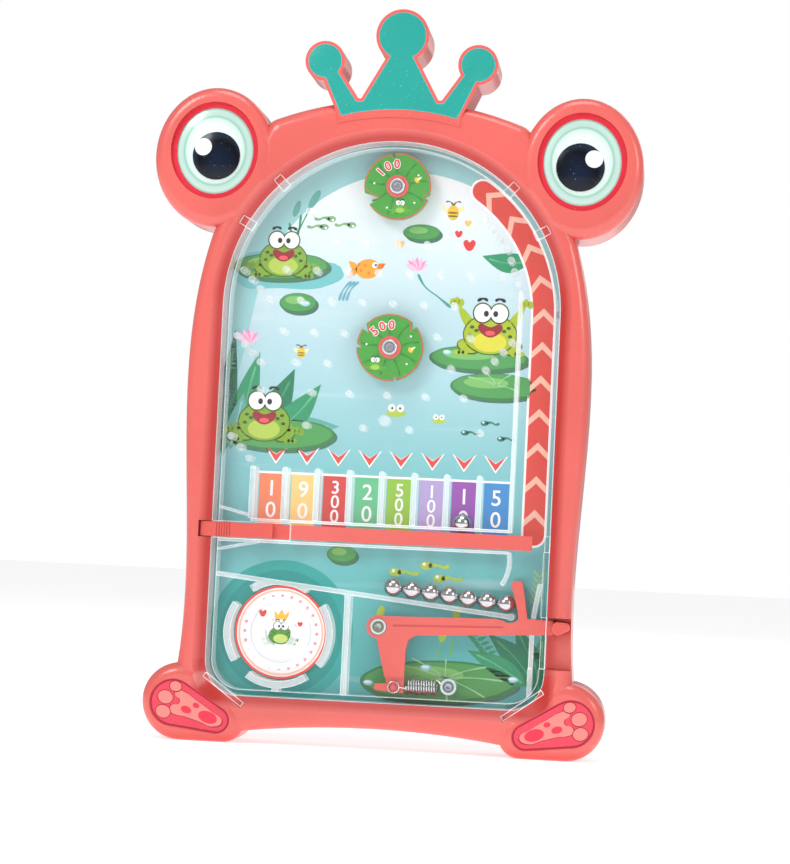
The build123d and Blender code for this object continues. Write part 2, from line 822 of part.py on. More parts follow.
def make_release_bar():
    bar = slab(patch(bar_left, bar_low, bar_right, bar_high), bar_front, bar_front + bar_skin)
    for index in range(slot_count):
        x = first_divider_x + (index + 0.5) * slot_pitch
        finger = patch(x - finger_width / 2, bar_low, x + finger_width / 2, bar_high)
        bar += slab(finger, bar_front, card_front - 0.2)
    grip = patch(grip_left, bar_low, grip_right, bar_high)
    bar += slab(grip, grip_front, cover_front - 0.15)
    bar += slab(patch(bar_left, bar_low, grip_right, bar_high), cover_front - 0.2, bar_front + 0.1)
    for index in range(groove_count):
        x = groove_first + index * groove_pitch
        line = patch(x, bar_low - past, x + groove_width, bar_high + past)
        bar -= slab(line, grip_front - past, grip_front + groove_width)
    return bar


def make_feed_balls():
    slope = math.atan2(rail_right[1] - rail_left[1], rail_right[0] - rail_left[0])
    lift = wall / 2 + ball_gap + ball_radius
    balls = []
    for index in range(feed_count):
        x = last_ball_x - index * feed_pitch * math.cos(slope)
        rail_z = rail_right[1] + (x - rail_right[0]) * math.tan(slope)
        balls.append(Pos(x, ball_y, rail_z + lift / math.cos(slope)) * Sphere(ball_radius))
    return balls


def make_caught_ball():
    x = first_divider_x + 6.5 * slot_pitch
    return Pos(x, ball_y, bar_high + ball_gap + ball_radius) * Sphere(ball_radius)


def make_case_screws():
    screws = []
    for x, z in screw_places:
        head = slab(disc(x, z, screw_head), screw_seat, screw_seat + screw_head_high)
        head = fillet(head.faces().sort_by(Axis.Y)[-1].edges(), screw_head_round)
        cross = patch(x - cross_half, z - cross_width, x + cross_half, z + cross_width)
        cross += patch(x - cross_width, z - cross_half, x + cross_width, z + cross_half)
        head -= slab(cross, screw_seat + screw_head_round, screw_seat + 2 * screw_head_high)
        screws.append(head + slab(disc(x, z, screw_radius), screw_tip, screw_seat + 0.2))
    return screws


def as_compound(shapes):
    solids = []
    for shape in shapes:
        solids.extend(shape.solids())
    return Compound(children=solids)


top_notches = [(97, 2.6, 1.6), (215, 4.6, -6.5), (338, 1.6, 3.0)]
mid_notches = [(40, 2.2, 3.2), (148, 2.4, -3.4), (182, 1.8, -2.4), (278, 2.0, 2.2)]

ring_left, ball_left, pupil_left = make_eye(-1)
ring_right, ball_right, pupil_right = make_eye(1)
inlay_slab = slab(tangent_hull(inlay_heel, inlay_toe), inlay_front, inlay_floor)
card_outline = window_outline(window_wall)
card = slab(card_outline, card_front, plate_front)
plate = slab(card_outline, plate_front, plate_back)
pivot_holes = disc(spinner_x, spinner_top_z, rivet_radius) + disc(spinner_x, spinner_mid_z, rivet_radius)
pivot_holes += disc(*pivot, pin_radius) + disc(*post, post_radius)
card -= slab(pivot_holes, card_front - past, plate_front)
plate -= slab(pivot_holes, plate_front, plate_back)

nodes = {
    "front_shell": make_front_shell(),
    "rear_shell": make_rear_shell(),
    "crown_cap": make_crown_cap(),
    "eye_ring_left": ring_left,
    "eye_ring_right": ring_right,
    "eyeball_left": ball_left,
    "eyeball_right": ball_right,
    "pupil_left": pupil_left,
    "pupil_right": pupil_right,
    "foot_inlay_left": mirror(inlay_slab, about=Plane.YZ),
    "foot_inlay_right": inlay_slab,
    "window_cover": make_window_cover(),
    "play_walls": make_play_walls(),
    "slot_dividers": as_compound(make_slot_dividers()),
    "pegs": as_compound(make_pegs()),
    "dial_disc": slab(disc(*dial, dial_radius), dial_front, card_front),
    "backdrop_card": card,
    "backing_plate": plate,
    "spinner_top": make_spinner(spinner_top_z, top_notches),
    "spinner_mid": make_spinner(spinner_mid_z, mid_notches),
    "spinner_hub_top": make_hub(spinner_top_z),
    "spinner_hub_mid": make_hub(spinner_mid_z),
    "spinner_rivets": as_compound(make_spinner_rivets()),
    "launch_lever": make_launch_lever(),
    "lever_pin": make_lever_pin(),
    "return_spring": make_return_spring(),
    "spring_post": make_spring_post(),
    "release_bar": make_release_bar(),
    "feed_balls": as_compound(make_feed_balls()),
    "caught_ball": make_caught_ball(),
    "case_screws": as_compound(make_case_screws()),
}

os.makedirs("parts", exist_ok=True)
for name, shape in nodes.items():
    export_step(shape, f"parts/{name}.step")
    print(name, len(shape.solids()), round(shape.volume, 1))
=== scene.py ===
import bpy
import math
from mathutils import Matrix, Vector


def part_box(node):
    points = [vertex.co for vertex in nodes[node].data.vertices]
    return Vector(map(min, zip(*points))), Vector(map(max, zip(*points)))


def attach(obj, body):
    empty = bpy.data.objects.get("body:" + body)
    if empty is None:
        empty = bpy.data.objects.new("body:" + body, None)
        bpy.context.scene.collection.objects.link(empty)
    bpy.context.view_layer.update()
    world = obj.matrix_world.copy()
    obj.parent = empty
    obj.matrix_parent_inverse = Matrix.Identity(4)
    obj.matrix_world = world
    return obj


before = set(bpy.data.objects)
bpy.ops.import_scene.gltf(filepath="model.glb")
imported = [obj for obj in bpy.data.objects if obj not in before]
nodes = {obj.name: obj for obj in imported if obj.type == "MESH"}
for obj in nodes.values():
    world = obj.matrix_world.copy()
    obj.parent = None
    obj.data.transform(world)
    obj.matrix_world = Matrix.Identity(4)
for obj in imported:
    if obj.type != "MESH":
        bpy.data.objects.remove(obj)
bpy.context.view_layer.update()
mm = 0.001
bpy.context.scene.view_settings.view_transform = "Standard"
print("frame loaded:", len(nodes), "nodes")

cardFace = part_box("backdrop_card")[0].y
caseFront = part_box("front_shell")[0].y
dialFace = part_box("dial_disc")[0].y
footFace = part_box("foot_inlay_left")[0].y


def deselectAll():
    bpy.ops.object.select_all(action="DESELECT")


def linear(red, green, blue):
    values = []
    for value in (red, green, blue):
        share = value / 255
        values.append(share / 12.92 if share <= 0.04045 else ((share + 0.055) / 1.055) ** 2.4)
    return (values[0], values[1], values[2], 1)


view = {
    "lens": 105.75,
    "aim": (0.00392, 0.10892),
    "distance": 0.867,
    "turn": 6.095,
    "rise": -2.482,
    "roll": 2.752,
}


def placeCamera():
    deselectAll()
    turn = math.radians(view["turn"])
    rise = math.radians(view["rise"])
    roll = math.radians(view["roll"])
    back = Vector((math.sin(turn) * math.cos(rise), -math.cos(turn) * math.cos(rise), math.sin(rise)))
    side = Vector((math.cos(turn), math.sin(turn), 0))
    up = back.cross(side)
    rightWay = side * math.cos(roll) + up * math.sin(roll)
    upWay = up * math.cos(roll) - side * math.sin(roll)
    eye = Vector((view["aim"][0], caseFront, view["aim"][1])) + back * view["distance"]
    bpy.ops.object.camera_add()
    camera = bpy.context.active_object
    camera.name = "mainCamera"
    camera.data.lens = view["lens"]
    camera.data.sensor_width = 36
    camera.data.clip_start = 0.05
    axes = Matrix((rightWay, upWay, back)).transposed().to_4x4()
    camera.matrix_world = Matrix.Translation(eye) @ axes
    bpy.context.scene.camera = camera


studio = {
    "worldLight": 0.35,
    "roomLight": 1.0,
    "lamps": [
        ("keyPanel", (-0.55, -0.85, 0.75), 0.35, 3.9),
        ("fillPanel", (0.75, -0.6, 0.45), 0.3, 1.5),
        ("topPanel", (0.0, -0.25, 0.85), 0.4, 2.0),
        ("backPanel", (0.5, 0.9, 0.7), 0.8, 2.4),
    ],
    "paper": (0.94, 0.94, 0.95, 1),
    "paperGlow": 0.6,
}


def lightStudio():
    for name, place, size, power in studio["lamps"]:
        bpy.ops.object.light_add(type="AREA", location=place)
        lamp = bpy.context.active_object
        lamp.name = name
        lamp.data.shape = "SQUARE"
        lamp.data.size = size
        lamp.data.energy = power
        toward = Vector((0, 0, 0.12)) - Vector(place)
        lamp.rotation_euler = toward.to_track_quat("-Z", "Y").to_euler()
    world = bpy.data.worlds.new("paleRoom")
    world.use_nodes = True
    room = world.node_tree
    room.nodes["Background"].inputs["Color"].default_value = (1, 1, 1, 1)
    rays = room.nodes.new("ShaderNodeLightPath")
    strength = room.nodes.new("ShaderNodeMapRange")
    strength.inputs["To Min"].default_value = studio["worldLight"]
    strength.inputs["To Max"].default_value = studio["roomLight"]
    room.links.new(rays.outputs["Is Camera Ray"], strength.inputs["Value"])
    room.links.new(strength.outputs["Result"], room.nodes["Background"].inputs["Strength"])
    bpy.context.scene.world = world
    deselectAll()
    bpy.ops.mesh.primitive_plane_add(size=8, location=(0, 0, 0))
    floor = bpy.context.active_object
    floor.name = "paleFloor"
    paper = bpy.data.materials.new("palePaper")
    paper.use_nodes = True
    shader = paper.node_tree.nodes["Principled BSDF"]
    shader.inputs["Base Color"].default_value = studio["paper"]
    shader.inputs["Roughness"].default_value = 0.9
    shader.inputs["Emission Color"].default_value = (1, 1, 1, 1)
    shader.inputs["Emission Strength"].default_value = studio["paperGlow"]
    floor.data.materials.append(paper)


placeCamera()
lightStudio()
print("camera and studio ready")


def feed(tree, node, values):  # a value is a number, a colour or the socket that it comes from
    for label, value in dict(values).items():
        if isinstance(value, bpy.types.NodeSocket):
            tree.links.new(value, node.inputs[label])
        else:
            node.inputs[label].default_value = value


def addNode(tree, kind, values=(), **settings):
    node = tree.nodes.new("ShaderNode" + kind)
    for label, setting in settings.items():
        setattr(node, label, setting)
    feed(tree, node, values)
    return node.outputs


def addMath(tree, kind, *values):
    return addNode(tree, "Math", enumerate(values), operation=kind)["Value"]


def addVector(tree, kind, *values):
    return addNode(tree, "VectorMath", enumerate(values), operation=kind)


def addRange(tree, value, fromLow, fromHigh, toLow=0, toHigh=1):
    limits = {"From Min": fromLow, "From Max": fromHigh, "To Min": toLow, "To Max": toHigh}
    return addNode(tree, "MapRange", {"Value": value, **limits})["Result"]


def addNoise(tree, place, scale, detail):
    return addNode(tree, "TexNoise", {"Vector": place, "Scale": scale, "Detail": detail})["Fac"]


def addRamp(tree, value, stops):
    node = tree.nodes.new("ShaderNodeValToRGB")
    elements = node.color_ramp.elements
    elements[0].color = linear(*stops[0][1])
    elements[1].color = linear(*stops[-1][1])
    for spot, colour in stops[1:-1]:
        elements.new(spot).color = linear(*colour)
    tree.links.new(value, node.inputs["Fac"])
    return node.outputs["Color"]


def objectPlace(tree):
    return addNode(tree, "TexCoord")["Object"]


def mixColour(tree, factor, under, over):
    return addNode(tree, "Mix", {"Factor": factor, "A": under, "B": over}, data_type="RGBA")["Result"]


def scaleColour(tree, colour, amount):
    return addNode(tree, "VectorMath", {0: colour, "Scale": amount}, operation="SCALE")["Vector"]


def newGroup(name, inputs):
    group = bpy.data.node_groups.new(name, "ShaderNodeTree")
    for label, kind, value in inputs:
        socket = group.interface.new_socket(label, in_out="INPUT", socket_type="NodeSocket" + kind)
        socket.default_value = value
    for label, kind in (("Color", "Color"), ("Roughness", "Float"), ("Height", "Float")):
        group.interface.new_socket(label, in_out="OUTPUT", socket_type="NodeSocket" + kind)
    return group, group.nodes.new("NodeGroupInput").outputs, group.nodes.new("NodeGroupOutput")


def makeMouldGroup():  # slow tone drift, tiny flow ripples and sparse dust of moulded plastic
    inputs = [("Color", "Color", (0.8, 0.2, 0.2, 1)), ("Drift", "Float", 0.08), ("Roughness", "Float",
        0.25)]
    group, given, result = newGroup("mouldedSurface", inputs)
    place = objectPlace(group)
    slow = addNoise(group, place, 26, 2)
    ripples = addNoise(group, place, 900, 3)
    specks = addNoise(group, place, 1700, 1)
    shade = scaleColour(group, given["Color"], addRange(group, slow, 0.35, 0.65, 0.9, 1.05))
    drifted = mixColour(group, given["Drift"], given["Color"], shade)
    dusty = mixColour(group, addRange(group, specks, 0.72, 0.8, 0, 0.25), drifted, (0.9, 0.88, 0.86, 1))
    rough = addMath(group, "MULTIPLY_ADD", slow, 0.12, given["Roughness"])
    feed(group, result, {"Color": dusty, "Roughness": rough, "Height": ripples})
    return group


def makePrintGroup():  # offset print: faint dot screen, paper tooth and ink that lies a little unevenly
    inputs = [("Color", "Color", (0.8, 0.8, 0.8, 1)), ("Roughness", "Float", 0.35)]
    group, given, result = newGroup("printedSurface", inputs)
    place = objectPlace(group)
    screen = addNode(group, "TexVoronoi", {"Vector": place, "Scale": 2600})["Distance"]
    tooth = addNoise(group, place, 320, 4)
    shade = scaleColour(group, given["Color"], addRange(group, screen, 0, 0.7, 0.97, 1.03))
    rough = addMath(group, "MULTIPLY_ADD", tooth, 0.15, given["Roughness"])
    feed(group, result, {"Color": shade, "Roughness": rough, "Height": tooth})
    return group


mouldGroup = makeMouldGroup()
printGroup = makePrintGroup()


def newMaterial(name):
    material = bpy.data.materials.new(name)
    material.use_nodes = True
    tree = material.node_tree
    return material, tree, tree.nodes["Principled BSDF"]


def addBump(tree, shader, height, strength, distance):
    values = {"Height": height, "Strength": strength, "Distance": distance}
    feed(tree, shader, {"Normal": addNode(tree, "Bump", values)["Normal"]})


def edgeMask(tree, radius, strength):  # one where the surface turns sharply
    rounded = addNode(tree, "Bevel", {"Radius": radius}, samples=4)["Normal"]
    shape = addNode(tree, "NewGeometry")["Normal"]
    match = addVector(tree, "DOT_PRODUCT", rounded, shape)["Value"]
    return addRange(tree, match, 0.99, 0.88, 0, strength)


# painted shade on the window's sloping border: where it bends, where it ends and how strong it is
windowShadeBand = {"bend": 0.151, "foot": 0.0745, "outer": 0.0624, "inner": 0.0598, "strength": 0.95}


def windowBorderShade(tree):  # painted shade: strong on the sloping border of the window, nought on the rest of the case
    apart = addNode(tree, "SeparateXYZ", {"Vector": objectPlace(tree)})
    above = addMath(tree, "MAXIMUM", addMath(tree, "SUBTRACT", apart["Z"], windowShadeBand["bend"]), 0)
    across = addMath(tree, "MULTIPLY", apart["X"], apart["X"])
    away = addMath(tree, "SQRT", addMath(tree, "ADD", across, addMath(tree, "MULTIPLY", above, above)))
    below = addMath(tree, "SUBTRACT", windowShadeBand["foot"], apart["Z"])
    away = addMath(tree, "MAXIMUM", away, below)
    return addRange(tree, away, windowShadeBand["outer"], windowShadeBand["inner"], 0, windowShadeBand["strength"])


def mouldedPlastic(name, colour, roughness=0.22, coat=0.35, drift=0.6, creaseShade=None, rim=None, border=None):
    material, tree, shader = newMaterial(name)
    values = {"Color": linear(*colour), "Drift": drift, "Roughness": roughness}
    surface = addNode(tree, "Group", values, node_tree=mouldGroup)
    shown = surface["Color"]
    # painted shade: deeper colour on the sloping border of the window
    if border:
        shown = mixColour(tree, windowBorderShade(tree), shown, linear(*border))
    if creaseShade:  # painted shade: deeper colour where the surface folds in, from ambient occlusion
        hollow = addNode(tree, "AmbientOcclusion", {"Distance": 0.006}, samples=6)["AO"]
        shown = mixColour(tree, addRange(tree, hollow, 0.9, 0.2), shown, linear(*creaseShade))
    # painted highlight: a pale line along edges where the surface turns sharply
    if rim:
        shown = mixColour(tree, edgeMask(tree, 0.0006, 0.8), shown, linear(*rim))
    feed(tree, shader, {"Base Color": shown, "Roughness": surface["Roughness"]})
    feed(tree, shader, {"Coat Weight": coat, "Coat Roughness": 0.12})
    addBump(tree, shader, surface["Height"], 0.12, 0.00004)
    return material


def addInk(tree, shader, colour, roughness, bump):
    surface = addNode(tree, "Group", {"Color": colour, "Roughness": roughness}, node_tree=printGroup)
    feed(tree, shader, {"Base Color": surface["Color"], "Roughness": surface["Roughness"]})
    addBump(tree, shader, surface["Height"], bump, 0.00003)


inkBook = {}


def ink(name, colour=None):  # one printed colour, made the first time it is asked for
    if name not in inkBook:
        material, tree, shader = newMaterial("ink_" + name)
        addInk(tree, shader, linear(*colour), 0.32, 0.08)
        inkBook[name] = material
    return inkBook[name]


def clearPlastic(name, tint, faceAlpha, grazingSheenAlpha, edgeHighlightAlpha, roughness, glow):
    material, tree, shader = newMaterial(name)
    # painted sheen: the pale tint shows more where the surface turns away from view
    facing = addNode(tree, "LayerWeight", {"Blend": 0.3})["Facing"]
    alpha = addRange(tree, facing, 0, 1, faceAlpha, grazingSheenAlpha)
    cloud = addMath(tree, "MULTIPLY_ADD", addNoise(tree, objectPlace(tree), 45, 2), 0.02, alpha)
    rim = edgeMask(tree, 0.0005, edgeHighlightAlpha)  # painted highlight: moulded edges show as thin pale lines
    seen = addMath(tree, "MAXIMUM", cloud, rim)
    direct = addNode(tree, "LightPath")["Is Camera Ray"]
    feed(tree, shader, {
        "Alpha": addMath(tree, "MULTIPLY", direct, seen),
        "Base Color": tint,
        "Roughness": roughness,
        "Emission Color": (0.9, 0.97, 1, 1),
        "Emission Strength": glow,
        "Coat Weight": 0.3,
        "Coat Roughness": 0.03,
    })
    return material


def brightMetal(name, colour, roughness, brushed):
    material, tree, shader = newMaterial(name)
    marks = addNoise(tree, objectPlace(tree), brushed, 4)
    rough = addMath(tree, "MULTIPLY_ADD", marks, 0.14, roughness)
    feed(tree, shader, {"Roughness": rough, "Base Color": colour, "Metallic": 1})
    addBump(tree, shader, marks, 0.05, 0.00003)
    return material


pond = {
    "low": 0.015,
    "high": 0.210,
    "stops": [
        (0.0, (78, 174, 172)), (0.2, (98, 188, 188)), (0.3, (118, 190, 192)), (0.42, (130, 196, 200)),
        (0.58, (170, 212, 220)), (0.72, (196, 224, 232)), (0.84, (226, 240, 245)), (1.0, (248, 251, 252)),
    ],
    "streakScale": (14, 1, 150),
    "glint": (0.85, 0.95, 0.97, 1),
}


def pondPrint():  # card ground: pale water above, deep water below, with faint streaks
    material, tree, shader = newMaterial("pondPrint")
    place = objectPlace(tree)
    height = addNode(tree, "SeparateXYZ", {"Vector": place})["Z"]
    ground = addRamp(tree, addRange(tree, height, pond["low"], pond["high"]), pond["stops"])
    stretched = addNode(tree, "Mapping", {"Vector": place, "Scale": pond["streakScale"]})["Vector"]
    streaks = addRange(tree, addNoise(tree, stretched, 1, 2), 0.6, 0.72, 0, 0.22)
    addInk(tree, shader, mixColour(tree, streaks, ground, pond["glint"]), 0.3, 0.08)
    return material


eyeGlint = {"middle": (0.0676, 0.2049), "edge": (0.0031, 0.0029), "colour": (0.98, 1, 1, 1)}
eyeFinishes = {
    "eyeMint": {
        "middle": (0.0636, 0.2038),
        "reach": 0.0136,
        "squash": 0.9,
        "roughness": 0.15,
        "stops": [
            (0.0, (228, 244, 238)), (0.6, (230, 244, 239)), (0.74, (212, 238, 228)),
            (0.79, (150, 202, 186)), (0.83, (184, 226, 212)), (0.93, (204, 236, 226)),
            (0.97, (160, 210, 196)), (1.0, (186, 226, 214)),
        ],
        "shine": {"Coat Weight": 0.4},
    },
    "pupilNight": {
        "middle": (0.0622, 0.2006),
        "reach": 0.0084,
        "squash": 1,
        "roughness": 0.12,
        "stops": [(0.0, (14, 30, 56)), (0.55, (10, 20, 38)), (0.8, (6, 8, 16)), (1.0, (30, 40, 58))],
        "shine": {"Specular IOR Level": 0.25, "Coat Weight": 0.15},
    },
}


def distanceFrom(tree, middle, squash):  # from a point that both eyes share, mirrored across the middle
    apart = addNode(tree, "SeparateXYZ", {"Vector": objectPlace(tree)})
    across = addMath(tree, "ABSOLUTE", apart["X"])
    joined = addNode(tree, "CombineXYZ", {"X": across, "Z": apart["Z"]})["Vector"]
    shifted = addVector(tree, "SUBTRACT", joined, (middle[0], 0, middle[1]))["Vector"]
    scaled = addVector(tree, "MULTIPLY", shifted, (1, 1, squash))["Vector"]
    return addVector(tree, "LENGTH", scaled)["Value"]


def paintedEye(name):  # painted rings, and a round white glint that crosses the pupil's rim
    job = eyeFinishes[name]
    material, tree, shader = newMaterial(name)
    rings = addRange(tree, distanceFrom(tree, job["middle"], job["squash"]), 0, job["reach"])
    values = {"Color": addRamp(tree, rings, job["stops"]), "Drift": 0.3, "Roughness": job["roughness"]}
    surface = addNode(tree, "Group", values, node_tree=mouldGroup)
    glint = addRange(tree, distanceFrom(tree, eyeGlint["middle"], 1), *eyeGlint["edge"])
    shown = mixColour(tree, glint, surface["Color"], eyeGlint["colour"])
    feed(tree, shader, {"Base Color": shown, "Roughness": surface["Roughness"], **job["shine"]})
    return material


def dressNodes():
    # painted shade: the case is deeper red in its folds, and the front shell also on its sloping window
    # border
    coral = mouldedPlastic("caseCoral", (230, 102, 94), 0.26, 0.45, 0.6, (212, 62, 54), None, (192, 38, 32))
    finishes = {
        "front_shell": coral,
        "rear_shell": mouldedPlastic("rearCoral", (230, 102, 94), 0.26, 0.45, 0.6, (212, 62, 54)),
        # painted highlight: pale cyan lines along the crown's sharp edges
        "crown_cap": mouldedPlastic("crownTeal", (34, 166, 154), 0.16, 0.7, 0.6, None, (40, 214, 226)),
        "eye_ring_left": mouldedPlastic("eyeRed", (232, 38, 62), 0.25, 0.5),
        "eyeball_left": paintedEye("eyeMint"),
        "pupil_left": paintedEye("pupilNight"),
        "foot_inlay_left": mouldedPlastic("inlayCrimson", (236, 58, 84), 0.3, 0.4),
        "window_cover": clearPlastic("coverClear", (0.95, 0.99, 1.0, 1), 0.0, 0.6, 0.85, 0.05, 0.36),
        "play_walls": clearPlastic("wallClear", (0.95, 0.97, 1.0, 1), 0.28, 0.7, 0.9, 0.1, 0.26),
        "pegs": clearPlastic("pegClear", (0.93, 0.97, 1.0, 1), 0.24, 0.55, 0.6, 0.08, 0.06),
        "dial_disc": ink("dialRed", (238, 72, 60)),
        "backdrop_card": pondPrint(),
        "backing_plate": mouldedPlastic("plateTeal", (110, 180, 180), 0.4, 0.1),
        "spinner_top": mouldedPlastic("spinnerGreen", (64, 158, 50), 0.28, 0.3),
        "spinner_hub_top": mouldedPlastic("hubCoral", (228, 92, 84), 0.28, 0.3),
        "spinner_rivets": brightMetal("rivetMetal", (0.62, 0.62, 0.64, 1), 0.18, 500),
        "launch_lever": mouldedPlastic("leverCoral", (228, 92, 82), 0.3, 0.3),
        "return_spring": brightMetal("springSteel", (0.66, 0.66, 0.68, 1), 0.2, 900),
        "feed_balls": brightMetal("ballSteel", (0.62, 0.62, 0.64, 1), 0.1, 300),
        "case_screws": brightMetal("screwZinc", (0.5, 0.5, 0.52, 1), 0.3, 700),
    }
    sameAs = {
        "eye_ring_right": "eye_ring_left",
        "eyeball_right": "eyeball_left",
        "pupil_right": "pupil_left",
        "foot_inlay_right": "foot_inlay_left",
        "slot_dividers": "play_walls",
        "spinner_mid": "spinner_top",
        "spinner_hub_mid": "spinner_hub_top",
        "lever_pin": "spinner_rivets",
        "spring_post": "spinner_rivets",
        "release_bar": "launch_lever",
        "caught_ball": "feed_balls",
    }
    for name, node in nodes.items():
        finish = finishes[sameAs.get(name, name)]
        node.data.materials.clear()
        node.data.materials.append(finish)


dressNodes()
print("frame dressed")


sheetStep = 0.012 * mm  # one printed layer over the next
sheetHalf = 0.003 * mm


def ovalPoints(x, z, halfX, halfZ, turn=0, count=12):
    points = []
    lean = math.radians(turn)
    for step in range(count):
        angle = 2 * math.pi * step / count
        across = halfX * math.cos(angle)
        along = halfZ * math.sin(angle)
        points.append((x + across * math.cos(lean) - along * math.sin(lean),
                       z + across * math.sin(lean) + along * math.cos(lean)))
    return points


def leafPoints(x0, z0, x1, z1, width, bend=0):
    length = math.dist((x0, z0), (x1, z1))
    alongX, alongZ = (x1 - x0) / length, (z1 - z0) / length
    points = []
    steps = 9
    for side in (1, -1):
        for step in range(steps):
            share = step / steps if side > 0 else 1 - step / steps
            swell = math.sin(math.pi * share ** 0.75)
            offset = side * swell * width / 2 + bend * math.sin(math.pi * share)
            points.append((x0 + alongX * length * share - alongZ * offset,
                           z0 + alongZ * length * share + alongX * offset))
    return points


def leafVein(x0, z0, x1, z1, bend=0, width=0.35):
    length = math.dist((x0, z0), (x1, z1))
    alongX, alongZ = (x1 - x0) / length, (z1 - z0) / length
    route = []
    for share in (0.08, 0.35, 0.6, 0.85):
        offset = bend * math.sin(math.pi * share)
        route.append((x0 + alongX * length * share - alongZ * offset,
            z0 + alongZ * length * share + alongX * offset))
    return strokePoints(route, width)


def strokePoints(route, width):  # a line of constant width along a few points
    left, right = [], []
    for index, (x, z) in enumerate(route):
        before = route[max(index - 1, 0)]
        after = route[min(index + 1, len(route) - 1)]
        length = math.dist(before, after) or 1
        across = (-(after[1] - before[1]) / length, (after[0] - before[0]) / length)
        left.append((x + across[0] * width / 2, z + across[1] * width / 2))
        right.append((x - across[0] * width / 2, z - across[1] * width / 2))
    return left + right[::-1]


def heartPoints(x, z, size):
    shape = [(0, -1), (-0.9, -0.1), (-0.95, 0.55), (-0.45, 0.85), (0, 0.45), (0.45, 0.85), (0.95, 0.55),
        (0.9, -0.1)]
    return [(x + size * a, z + size * b) for a, b in shape]


def printShape(outlines, material, face, layer, smooth=True):
    curve = bpy.data.curves.new("print", "CURVE")
    curve.dimensions = "2D"
    curve.fill_mode = "BOTH"
    curve.extrude = sheetHalf
    curve.resolution_u = 5
    for points in outlines:
        spline = curve.splines.new("BEZIER" if smooth else "POLY")
        if smooth:
            spline.bezier_points.add(len(points) - 1)
            for knot, (x, z) in zip(spline.bezier_points, points):
                knot.co = (x * mm, z * mm, 0)
                knot.handle_left_type = "AUTO"
                knot.handle_right_type = "AUTO"
        else:
            spline.points.add(len(points) - 1)
            for knot, (x, z) in zip(spline.points, points):
                knot.co = (x * mm, z * mm, 0, 1)
        spline.use_cyclic_u = True
    shape = bpy.data.objects.new("print", curve)
    bpy.context.scene.collection.objects.link(shape)
    curve.materials.append(material)
    shape.rotation_euler = (math.pi / 2, 0, 0)
    shape.location = (0, face - sheetStep * layer - sheetHalf, 0)
    return shape


def newSheet(face):  # the shapes printed on one face, and the function that adds one
    shapes = []

    def put(material, layer, *outlines, smooth=True):
        shapes.append(printShape(outlines, material, face, layer, smooth))

    return shapes, put


def joinPrint(name, shapes, body):  # curves become meshes, then one named piece
    deselectAll()
    for shape in shapes:
        shape.select_set(True)
    bpy.context.view_layer.objects.active = shapes[0]
    bpy.ops.object.convert(target="MESH")
    bpy.ops.object.join()
    piece = bpy.context.active_object
    bpy.ops.object.transform_apply(location=True, rotation=True, scale=True)
    piece.name = name
    piece.data.name = name
    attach(piece, body)
    return piece


def skyBand():  # pale arch between the card's edge and the bright middle, wider on the left
    points = []
    for step in range(49):
        angle = math.radians(180 * step / 48)
        points.append((58.3 * math.cos(angle), 151 + 58.3 * math.sin(angle)))
    points += [(-58.3, 104), (-55.5, 118), (-52.0, 134)]
    for step in range(49):
        angle = math.radians(172 - 172 * step / 48)
        points.append((4.5 + 53.5 * math.cos(angle), 146 + 54.0 * math.sin(angle)))
    return points


def makeWaterBands():
    deep = ink("deepWater", (40, 164, 158))
    deeper = ink("deeperWater", (18, 148, 142))
    mid = ink("midWater", (112, 194, 196))
    pale = ink("paleSky", (150, 208, 210))
    shapes, put = newSheet(cardFace)
    put(pale, 1, skyBand(), smooth=False)
    put(deep, 1, ovalPoints(-33.7, 38.3, 25, 25, 0, 16))
    put(deeper, 2, ovalPoints(-33.7, 38.3, 21.5, 21.5, 0, 16))
    put(mid, 0.5, [(-56, 66), (-36, 58), (-30, 52), (-56, 44)])
    put(mid, 1.5, [(-56, 160), (-40, 158), (-22, 160), (-18, 164), (-30, 168), (-56, 167)])
    return joinPrint("waterBands", shapes, "case")


track = {"middle": 52.2, "half": 3.6, "low": 76.0, "bend": 151.0, "end": 56, "pitch": 11.6}


